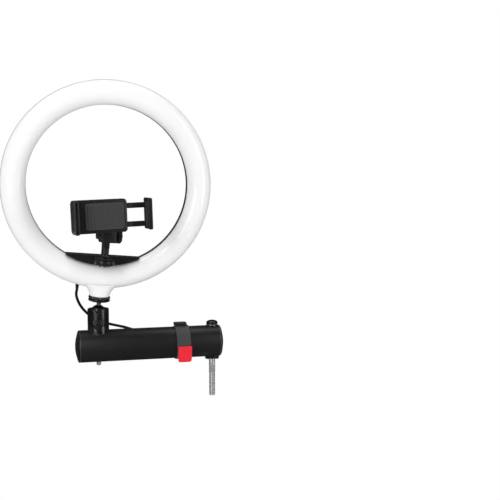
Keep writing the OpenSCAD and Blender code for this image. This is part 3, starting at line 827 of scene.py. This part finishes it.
def make_bracket():
    r = RING_IN - 0.1
    chord_drop, points = 86, 41
    end = math.degrees(math.asin(chord_drop / r))
    outline = arc(r, end - 180, -end, points)
    wedge = to_front(slab(fillet(outline, [0.6] + [0] * (points - 2) + [0.6], 3), -9, 9, 0.7))
    tongue = round_box((-11, POST_Y, -92.4), (11, -7, -86.6), 0.5, 0.9)
    pad = put(rod(11.9, -92.5, -86.5, 1.0, 72), 0, POST_Y, 0)
    ribs = [round_box((x - 0.8, -24, -93.6), (x + 0.8, -8, -92), 0.3, 0.3) for x in (-7, 7)]
    bracket = build("holder_bracket_body", [wedge], "holder_black", AT_RING)
    cut(bracket, [put(rod(3.2, -88, -80, 0, 32), x, 5) for x in (-20, 20)], AT_RING)
    fit_on(bracket, "ring", "holder_bracket")
    bore = put(rod(5.05, -100, -80, 0, 48), 0, POST_Y, 0)
    for name, parts in (("bracket_tongue", [tongue]), ("bracket_pad", [pad])):
        piece = build(name, parts, "holder_black", AT_RING)
        cut(piece, [bore], AT_RING)
        fit_on(piece, "ring")
    fit_on(build("bracket_ribs", ribs, "holder_black", AT_RING), "ring")


def cross_screw(turn):
    """A pan head with a cross recess, and its shank; height is depth towards the front."""
    low, deep, n = -12.9, 0.75, 64
    radii = [0.0, 0.45, 0.75, 1.0, 1.25, 1.5, 1.8, 2.1, 2.4, 2.65, 2.8]
    verts, faces = [(0.0, 0.0, low + deep)], []
    for r in radii[1:]:
        for k in range(n):
            a = 2 * math.pi * k / n
            near = abs(math.sin(2 * (a - math.radians(turn)))) * r / 2
            open_here = max(0.0, min(1.0, (0.42 - near) / 0.16)) * max(0.0, min(1.0, (1.7 - r) / 0.35))
            crown = 0.28 * (r / 2.8) ** 3
            verts.append((r * math.cos(a), r * math.sin(a), low + crown + deep * open_here))
    for r, h in ((2.9, low + 0.6), (2.9, low + 1.1), (1.5, low + 1.1), (1.5, low + 5)):
        verts += [(r * math.cos(2 * math.pi * k / n), r * math.sin(2 * math.pi * k / n), h) for k in range(n)]
    faces += [[0, 1 + (k + 1) % n, 1 + k] for k in range(n)]
    rows = (len(verts) - 1) // n
    for i in range(rows - 1):
        faces += belt(1 + i * n, 1 + (i + 1) * n, n)
    faces.append([1 + (rows - 1) * n + k for k in range(n)])
    return verts, faces


def make_screws():
    """Cross-head screws in the ring's back."""
    heads = []
    for i in range(8):
        heads.append(ring_spot(SCREW_R, 45 * i, cross_screw(20 * i)))
    screws = build("ring_screws", heads, "screw_steel", AT_RING)
    fit_on(screws, "ring", "housing_screws")


# ---- phone holder ----


def make_post():
    profile = [
        (0, -86.4), (9, -86.4), (9, -84.2), (7.6, -83.4), (5.6, -82.6),
        (4.6, -80), (4.6, -68), (3.6, -67.2), (0, -67.2),
    ]
    flange = lathe(fillet(profile, [0, 0.4, 0.8, 0.8, 1.5, 2, 0.4, 0.3, 0], 4), 64)
    neck = round_box((-3.95, -5.2, -72), (3.95, 5.2, -57), 1.6, 0.4)
    ear = put(along_x(rod(8, -4, 4, 0.7, 64)), 0, 0, KNUCKLE_Z)
    shank = rod(5, -94.5, -84, 0.5, 48)
    post = build("holder_post_body", [flange, neck, ear, shank], "holder_black", AT_POST)
    cut(post, [put(along_x(rod(2.55, -6, 6, 0, 32)), 0, 0, KNUCKLE_Z)], AT_POST)
    fit_on(post, "post", "holder_post")


def make_tilt_arm():
    parts = []
    for side in (-1, 1):
        x0, x1 = sorted((side * 4.3, side * 8.5))
        parts.append(along_x(rod(8, x0, x1, 0.6, 64)))
        parts.append(round_box((x0, -14, -8), (x1, 0, 8), 0.6, 0.6, "X"))
    parts.append(round_box((-8.5, -15, -8), (8.5, -9.6, HUB_Z), 1.2, 0.8, "Y"))
    hub = [(0, -20.7), (9.6, -20.7), (9.8, -14.6), (11.9, -13.6), (11.9, -9), (0, -9)]
    parts.append(put(along_y(lathe(fillet(hub, [0, 0.6, 0.8, 1, 1, 0], 4), 72)), 0, 0, HUB_Z))
    arm = build("tilt_arm_body", parts, "holder_black", AT_KNUCKLE)
    fit_on(arm, "tilt", "tilt_arm")


def make_knob():
    def lobes(a, r, h):
        return r - (0.9 * abs(math.sin(4 * a)) ** 3 if r > 7 else 0)

    profile = [
        (0, 8.8), (5.6, 8.8), (6, 9.4), (6, 11.6), (8.2, 12.2),
        (9, 13.2), (9, 16.8), (8.2, 17.8), (4, 18), (0, 17.4),
    ]
    head = along_x(lathe(fillet(profile, [0, 0.2, 0.2, 0.4, 0.5, 0.6, 0.6, 0.6, 0.8, 0], 3), 144, lobes))
    shank = along_x(rod(2.5, -12.5, 9, 0.4, 40))
    fit_on(build("tilt_knob_body", [head, shank], "holder_black", AT_KNUCKLE), "knob", "tilt_screw")


def jaw(x_in, side, back, low):
    """One jaw, from the back plate to the lip that holds the phone's edge; low is its lower end."""
    front, outer = -JAW_DEPTH, x_in + side * 3.5

    def upright(near, far, low, high, *soft):
        x0, x1 = sorted((near, far))
        return round_box((x0, low[0], low[1]), (x1, high[0], high[1]), *soft)

    wall = upright(x_in, outer, (front, low), (back, HALF_JAW), 1.7, 0.8, "Y")
    hook = upright(x_in - side * 2, outer, (front, low), (front + 3.5, HALF_JAW), 2.4, 1.1, "Y")
    ribs = []
    for i in range(5):
        y, z = front + 5 + 2.6 * i, HALF_JAW - 4
        ribs.append(upright(outer, outer + side * 0.3, (y, -z), (y + 1.2, z), 0.15, 0.14, "X"))
    return [wall, hook] + ribs


def make_clamp():
    plate = round_box((FIXED_IN - 3.5, -8, -HALF_JAW), (16, 0, HALF_JAW), 4, 1.0, "Y")
    body = build("clamp_plate", [plate], "holder_black", AT_CLAMP)
    slots = [round_box((-34, -6, z - 3.5), (17, -2, z + 3.5), 0.3, 0.05, "X") for z in SPRING_ROWS]
    windows = [round_box((-30, -3, z - 2.2), (10, 1.5, z + 2.2), 1.2, 0.1, "Y") for z in SPRING_ROWS]
    cut(body, slots + windows, AT_CLAMP)
    fit_on(body, "clamp", "clamp_body")
    fixed = build("clamp_fixed_jaw", jaw(FIXED_IN, -1, -4, -HALF_JAW), "holder_black", AT_CLAMP)
    fit_on(fixed, "clamp")
    boss = put(along_y(tube(7.5, 3.0, -0.3, 0.28, 0.1, 64)))
    fit_on(build("clamp_disc", [boss], "holder_black", AT_CLAMP), "clamp")

    arms = [round_box((-10, -5.7, z - 3.2), (MOVING_IN + 1, -2.3, z + 3.2), 0.8, 0.4, "X") for z in SPRING_ROWS]
    slide = build("slide_jaw", jaw(MOVING_IN, 1, 0, 2 - HALF_JAW) + arms, "holder_black", AT_CLAMP)
    fit_on(slide, "jaw", "sliding_jaw")


def make_pads():
    back = [round_box((-34, -9, -15.5), (12, -7.9, 15.5), 3, 0.3, "Y")]
    for i in range(10):
        x = -31 + 4.1 * i
        back.append(round_box((x, -9.5, -13), (x + 2, -8.8, 13), 0.9, 0.25, "Y"))
    fit_on(build("back_rubber", back, "pad_rubber", AT_CLAMP), "clamp", "back_pad")
    jaw_pads = (
        ("fixed", FIXED_IN, 1, "clamp", "fixed_jaw_pad"),
        ("slide", MOVING_IN, -1, "jaw", "sliding_jaw_pad"),
    )
    for name, x, side, body, node in jaw_pads:
        x0, x1 = sorted((x, x + side * 0.6))
        parts = [round_box((x0, -19, -15.5), (x1, -9, 15.5), 0.5, 0.2, "X")]
        for i in range(9):
            z = -14 + 3.3 * i
            a, b = sorted((x + side * 0.4, x + side * 1.0))
            parts.append(round_box((a, -18.6, z), (b, -9.4, z + 1.6), 0.5, 0.2, "X"))
        fit_on(build(f"{name}_rubber", parts, "pad_rubber", AT_CLAMP), body, node)


def make_springs():
    turns, steps, fixed_end, length, r = 15, 14, -33.6, 23.2, 1.35
    coils = []
    for z in SPRING_ROWS:
        path = []
        for s in np.linspace(0, 1, turns * steps + 1):
            a = 2 * math.pi * turns * s
            path.append((fixed_end + length * s, -4 + r * math.cos(a), z + r * math.sin(a)))
        coils.append(sweep(path, 0.22, 6))
    spring = build("clamp_spring_coils", coils, "screw_steel", AT_CLAMP, sharp=70)
    fit_on(spring, "clamp", "clamp_springs")
    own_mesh(spring)


# ---- ball head ----


def make_lock_wheel():
    def knurl(a, r, h):
        return r - (0.28 * (0.5 - 0.5 * math.cos(60 * a)) if r > 12.9 else 0)

    profile = [
        (3.2, 13.8), (11.6, 13.8), (12.9, 14.3), (13.3, 14.8), (13.3, 16.1), (12.6, 16.4), (12.4, 16.8),
        (12.4, 17.2), (12.6, 17.6), (13.3, 17.9), (13.3, 19.6), (13.0, 20.05), (12.2, 20.4), (3.2, 20.4),
    ]
    wheel = build("lock_wheel_rim", [lathe(profile, 480, knurl)], "head_black", AT_BALL, sharp=50)
    fit_on(wheel, "wheel", "lock_wheel")


def make_ball_housing():
    profile = [
        (4.1, HOUSING_LOW), (HOUSING_R - 0.5, HOUSING_LOW),
        (HOUSING_R, HOUSING_LOW + 0.5), (HOUSING_R, HOUSING_TOP - 1.2),
        (HOUSING_R - 0.8, HOUSING_TOP - 0.15), (10.6, HOUSING_TOP), (8.75, HOUSING_TOP - 1.5),
    ]
    profile += arc(9.2, 18, -55, 16, 0, BALL.z) + [(4.1, 56)]
    soft = [0, 0.2, 0.3, 0.8, 0.5, 0.3, 0.2] + [0] * 17
    housing = build("ball_housing_body", [lathe(fillet(profile, soft, 4), 128)], "head_black", AT_HEAD)
    notch = round_box((-2.6, -20, HOUSING_TOP - 4.6), (2.6, -6, HOUSING_TOP + 3), 2.5, 0, "Y")
    screw = put(along_y(rod(2.5, -14, -3, 0, 32)), 0, 0, LEVER_Z)
    cut(housing, [notch, screw], AT_TURNED_HEAD)
    fit_on(housing, "boom", "ball_housing")


def make_collar():
    r, low, top = HOUSING_R, 30, HOUSING_LOW
    profile = [(0, low), (r, low), (r, top - 0.7), (r - 0.55, top - 0.45), (r - 0.55, top), (0, top)]
    turning = lathe(fillet(profile, [0, 0, 0.4, 0.15, 0, 0], 3), 128)
    collar = build("base_collar_body", [turning], "head_black", AT_HEAD)
    cut(collar, [put(along_x(rod(BOOM_R, -40, 40, 0, 192)), 0, 0, BOOM_Z)], AT_HEAD)
    fit_on(collar, "boom", "base_collar")


def make_lever():
    outline = arc(6, -14, 194, 33) + [(-4.4, -5.4), (-3.3, -8.2)]
    outline += arc(3.05, 188, 352, 17, 0, -9.4) + [(3.3, -8.2), (4.4, -5.4)]
    blade = to_front(slab(outline, 14.3, 19.0, 1.2, 5))
    hub = along_y(rod(4, -14.4, -13.3, 0.1, 40))
    cap = along_y(rod(2.3, -19.35, -18.5, 0.25, 32))
    at = AT_TURNED_HEAD @ Matrix.Translation((0, 0, LEVER_Z)) @ turned(-21, "Y")
    lever = build("lock_lever_body", [blade, hub, cap], "head_black", at)
    fit_on(lever, "lever", "lock_lever")


def make_base_screw():
    """The fixing screw, with its rounded end under the boom."""
    profile = [(0, -1.6), (1.5, -1.6), (2.9, -0.5), (2.9, 48.4), (0, 48.4)]
    screw = build("base_screw", [lathe(fillet(profile, [0, 0.5, 0.6, 0.4, 0], 4), 64)], "bolt_steel", AT_HEAD)
    fit_on(screw, "boom", "base_bolt")


# ---- boom ----


def make_tube():
    r, (low, high) = BOOM_R, TUBE_ENDS
    profile = [(r - 2, low), (r, low), (r, high), (r - 2, high)]
    body = build("boom_tube_body", [along_x(lathe(fillet(profile, 0.35, 3), 192))], "tube_black", AT_BOOM)
    holes = [rod(6.4, -30, 30, 0, 64), put(rod(2.95, -30, 30, 0, 40), BALL.x)]
    cut(body, holes, AT_BOOM)
    fit_on(body, "boom", "boom_tube")


def cap_profile(depth):
    """A cap's flange with a soft rim and a domed face; height is outwards."""
    profile = [
        (0, -depth), (17.9, -depth), (17.9, 0), (19.98, 0), (20.05, 0.4), (20.0, 1.2),
        (18.7, 2.3), (15, 3.3), (10, 4.6), (5, 5.4), (0, 5.65),
    ]
    return fillet(profile, [0, 0.5, 0, 0.1, 0.2, 1.0, 1.0, 6, 6, 6, 0], 4)


def make_caps():
    left = moved(lathe(cap_profile(9), 160), Matrix.Translation((TUBE_ENDS[0], 0, 0)) @ turned(-90, "Y"))
    fit_on(build("left_cap_body", [left], "cap_black", AT_BOOM), "boom", "left_cap")
    right = moved(lathe(cap_profile(21), 160), Matrix.Translation((TUBE_ENDS[1], 0, 0)) @ turned(90, "Y"))
    cap = build("right_cap_body", [right], "cap_black", AT_BOOM)
    cut(cap, [rod(6.05, -30, 30, 0, 64)], AT_BOOM)
    fit_on(cap, "boom", "right_plug")
    # A thin lighter grey ring on each seam between tube and cap: the seam is real, but its light grey is a
    # painted highlight for the rim line at the tube ends.
    rims = [along_x(tube(20.08, 19.2, x - 0.25, x + 0.25, 0.2, 160)) for x in TUBE_ENDS]
    fit_on(build("boom_end_highlight_rims", rims, "rim_grey", AT_BOOM), "boom", slot="bolt_steel")


def make_saddles():
    tube_cut = put(along_x(rod(BOOM_R, -30, 30, 0, 192)), 0, 0, BOOM_Z)
    low = lathe(fillet([(6.4, 0.9), (8.7, 0.9), (9, 1.3), (9, 7), (6.4, 7)], [0.1, 0.2, 0.3, 0, 0], 3), 96)
    lower = build("lower_saddle_body", [low], "cap_black")
    cut(lower, [tube_cut])
    fit_on(lower, "boom", "lower_saddle")
    profile = [(6.4, 38), (7.6, 38), (7.6, 43.5), (7.3, 43.8), (6.4, 43.8)]
    high = lathe(fillet(profile, [0, 0, 0.3, 0.2, 0.1], 3), 96)
    upper = build("upper_saddle_body", [high], "cap_black")
    cut(upper, [tube_cut])
    fit_on(upper, "boom", "upper_saddle")


def thread(r, low, high, pitch=1.25):
    """A screw thread along Z, as one closed mesh."""
    n = 48
    rows = int((high - low) / pitch * 8)
    verts, faces = [], []
    for i in range(rows + 1):
        z = low + (high - low) * i / rows
        fade = min(1.0, (z - low) / pitch, (high - z) / pitch)
        for k in range(n):
            phase = ((z - low) / pitch - k / n) % 1.0
            q = r - 0.62 * fade * (1 - abs(2 * phase - 1)) - (0.7 * max(0, 1 - (z - low) / 1.2))
            a = 2 * math.pi * k / n
            verts.append((q * math.cos(a), q * math.sin(a), z))
    for i in range(rows):
        faces += belt(i * n, (i + 1) * n, n)
    faces.append(list(range(n - 1, -1, -1)))
    faces.append([rows * n + k for k in range(n)])
    return verts, faces


def make_swivel_bolt():
    shank = rod(4, -17.9, 0.2, 0.1, 64)
    shoulder = rod(6, 0, 44.5, 0.3, 64)
    head = put(rod(6.2, 44.5, 47.9, 0.4, 64))
    bolt = build("swivel_bolt_body", [thread(4, -48, -17.8), shank, shoulder, head], "bolt_steel", sharp=30)
    fit_on(bolt, "arm_mount", "swivel_bolt")
    dome_line = []
    for a in np.radians(range(0, 90, 9)):
        dome_line.append((7.3 * math.cos(a), 46.7 + 3.3 * math.sin(a)))
    dome_line.append((0, 50.0))
    inner = [(0, 48.0), (6.25, 48.0), (6.25, 44.5)]
    cap = lathe(fillet([(7.1, 44.5), (7.3, 44.8)] + dome_line + inner, 0), 128)
    fit_on(build("bolt_cap_dome", [cap], "cap_black"), "arm_mount", "bolt_cap")


# ---- strap ----


def strap_loop(off):
    """Round everything that the strap holds: the tube, the hank and the plug, in Y and Z."""
    hank_low, hank_high = HANK_Z - 15.5, HANK_Z + 15.5
    discs = [((0, BOOM_Z), BOOM_R)]
    discs += [((33, z), 2.0) for z in (hank_low + 2, hank_high - 2)]
    discs += [((PLUG_Y + 2, z), 2.4) for z in (PLUG_Z - 5.2, PLUG_Z + 5.2)]
    cloud = []
    for (y, z), r in discs:
        for k in range(96):
            a = 2 * math.pi * k / 96
            cloud.append((y + (r + off) * math.cos(a), z + (r + off) * math.sin(a)))
    return hull_of(cloud)


def hull_of(cloud):
    cloud = sorted(set(cloud))
    halves = []
    for points in (cloud, cloud[::-1]):
        half = []
        for p in points:
            while len(half) > 1:
                (ax, ay), (bx, by) = half[-2:]
                if (bx - ax) * (p[1] - ay) - (by - ay) * (p[0] - ax) > 0:
                    break
                half.pop()
            half.append(p)
        halves.append(half[:-1])
    return halves[0] + halves[1]


def band(line, x_at, width, thick, closed=True, edge=0.35, trims=None):
    """A flat band along a line in Y and Z.

    x_at(y, z) gives its middle in X, and trims what each side loses in width.
    """
    p = np.array(line, float)
    t = np.roll(p, -1, 0) - np.roll(p, 1, 0) if closed else np.gradient(p, axis=0)
    t /= np.linalg.norm(t, axis=1)[:, None]
    out = np.stack([t[:, 1], -t[:, 0]], 1)
    w, h = width / 2, thick
    section = fillet([(-w, 0), (w, 0), (w, h), (-w, h)], edge, 3)
    crown = [(x, d + 0.12 * (1 - (x / w) ** 2) * (d > h / 2)) for x, d in section]
    m = len(crown)
    verts, faces = [], []
    for i in range(len(p)):
        narrow = 1 - trims[i] / w if trims else 1
        for x, d in crown:
            y, z = p[i] + out[i] * d
            verts.append((x_at(p[i][0], p[i][1]) + x * narrow, y, z))
    for i in range(len(p) - (0 if closed else 1)):
        faces += belt(i * m, (i + 1) % len(p) * m, m)
    if not closed:
        faces.append(list(range(m - 1, -1, -1)))
        faces.append([(len(p) - 1) * m + k for k in range(m)])
    return verts, faces


def even_flat(line, step, closed=True):
    points = [(0, y, z) for y, z in line]
    if closed:
        points.append(points[0])
    return even(points, step)[: -1 if closed else None, 1:]


def make_strap():
    loop = even_flat(strap_loop(0.25), 1.1)

    def middle(y, z):
        return HANK_X + (0.9 * (34 - z) / 34 if y < 0 else 0.45)

    strap = build("strap_webbing", [band(loop, middle, STRAP_W, 1.25)], "strap_grey", sharp=60)
    fit_on(strap, "boom", "strap_band")

    top = BOOM_Z + BOOM_R
    x0, x1 = HANK_X - STRAP_W / 2 - 0.7, HANK_X + STRAP_W / 2 - 2.5
    frame_out = round_box((x0, -7.5, top + 1.7), (x1, 5.5, top + 5.5), 2.2, 0.9)
    window = round_box((x0 + 2, -5.2, top - 3), (x1 - 2, 3.2, top + 9), 1.2, 0.1)
    buckle = build("strap_buckle_frame", [frame_out], "buckle_black")
    cut(buckle, [window, put(along_x(rod(BOOM_R + 1.55, -80, 0, 0, 128)), 0, 0, BOOM_Z)])
    fit_on(buckle, "boom", "strap_buckle")
    bar = along_x(rod(1.1, x0 + 1, x1 - 1, 0.2, 24))
    fit_on(build("strap_buckle_bar", [put(bar, 0, -1, top + 3.6)], "buckle_black"), "boom")
    make_strap_fold(top)
    make_tab()


def make_strap_fold(top):
    """The strap's end, folded over the buckle's bar."""
    line = []
    for a in np.linspace(-150, 150, 25):
        line.append((-1 + 1.35 * math.sin(math.radians(a)), top + 3.6 + 1.35 * math.cos(math.radians(a))))
    cloth = band(line[::-1], lambda y, z: HANK_X - 1.2, 11.0, 0.55, False, 0.2)
    fold = build("strap_fold", [cloth], "strap_grey")
    fit_on(fold, "boom")


def make_tab():
    """The red pull tab: from the strap's front, down round the tube's underside, hanging free."""
    long, corner, line, trims = 20, 2.6, [], []
    for s in list(np.linspace(0, 0.86, 22)) + list(np.linspace(0.87, 1, 14)):
        line.append((-21.7 + 3.7 * s * s, 21 - long * s))
        into = max(0.0, corner - long * (1 - s))
        trims.append(corner - math.sqrt(corner**2 - into**2))
    x = HANK_X + 1.3
    cloth = band(line, lambda y, z: x, STRAP_W - 0.4, 1.3, False, 0.45, trims)
    tab = build("strap_tab_cloth", [cloth], "strap_red", sharp=60)
    fit_on(tab, "boom", "strap_tab")


# ---- stage and light ----


WRAP_LIGHT, MIRRORED_LIGHT = 0.62, 0.05


def by_ray(tree, general, mirrored, seen, surface):
    """One shader in general, a second one in mirrors and a third one to the camera."""
    ray = tree.nodes.new("ShaderNodeLightPath")
    for kind, shader in (("Is Glossy Ray", mirrored), ("Is Camera Ray", seen)):
        mix = tree.nodes.new("ShaderNodeMixShader")
        tree.links.new(ray.outputs[kind], mix.inputs[0])
        tree.links.new(general.outputs[0], mix.inputs[1])
        tree.links.new(shader.outputs[0], mix.inputs[2])
        general = mix
    tree.links.new(general.outputs[0], surface)


def plain_stage():
    """A white floor that lights the object from below, but shows little in its gloss."""
    mesh = bpy.data.meshes.new("floor")
    half, low = 9, -0.34
    corners = [(-half, -half, low), (half, -half, low), (half, half, low), (-half, half, low)]
    mesh.from_pydata(corners, [], [[0, 1, 2, 3]])
    look, tree, shader = new_look("floor_paint")
    shader.inputs["Base Color"].default_value = (0.85, 0.85, 0.85, 1)
    shader.inputs["Roughness"].default_value = 0.95
    glow, dim = tree.nodes.new("ShaderNodeEmission"), tree.nodes.new("ShaderNodeEmission")
    dim.inputs["Strength"].default_value = MIRRORED_LIGHT
    by_ray(tree, shader, dim, glow, tree.nodes["Material Output"].inputs["Surface"])
    mesh.materials.append(look)
    floor = bpy.data.objects.new("floor", mesh)
    bpy.context.scene.collection.objects.link(floor)


def lamp(name, place, target, size, power):
    data = bpy.data.lights.new(name, "AREA")
    data.shape, data.size, data.size_y = "RECTANGLE", size[0], size[1]
    data.energy = power
    thing = bpy.data.objects.new(name, data)
    thing.location = place
    thing.rotation_euler = (Vector(target) - Vector(place)).to_track_quat("-Z", "Y").to_euler()
    bpy.context.scene.collection.objects.link(thing)


def studio_world():
    """White behind the object, an even wrap of light, and little to mirror but the lamps."""
    world = bpy.data.worlds.new("studio")
    bpy.context.scene.world = world
    world.use_nodes = True
    tree = world.node_tree
    wrap = tree.nodes["Background"]
    wrap.inputs["Color"].default_value = (1, 1, 1, 1)
    wrap.inputs["Strength"].default_value = WRAP_LIGHT
    mirrored, seen = tree.nodes.new("ShaderNodeBackground"), tree.nodes.new("ShaderNodeBackground")
    mirrored.inputs["Strength"].default_value = MIRRORED_LIGHT
    seen.inputs["Strength"].default_value = 1.0
    for node in (mirrored, seen):
        node.inputs["Color"].default_value = (1, 1, 1, 1)
    by_ray(tree, wrap, mirrored, seen, tree.nodes["World Output"].inputs["Surface"])


def light_studio():
    studio_world()
    target = (-0.12, 0, 0.12)
    lamp("left_softbox", (-1.18, -1.42, 0.75), target, (0.5, 1.8), 16)
    lamp("right_strip", (1.2, -1.2, 0.45), target, (0.14, 1.5), 7)
    lamp("top_box", (-0.1, 0.25, 1.6), target, (1.6, 0.5), 8)
    bpy.context.scene.view_settings.view_transform = "Standard"


make_camera()
make_looks()
dress_frame_nodes()
make_cable()
make_diffuser()
make_housing()
make_screws()
make_buttons()
make_boss()
make_gland()
make_bracket()
make_post()
make_tilt_arm()
make_knob()
make_clamp()
make_pads()
make_springs()
make_lock_wheel()
make_ball_housing()
make_collar()
make_lever()
make_base_screw()
make_tube()
make_caps()
make_saddles()
make_swivel_bolt()
make_strap()
plain_stage()
light_studio()
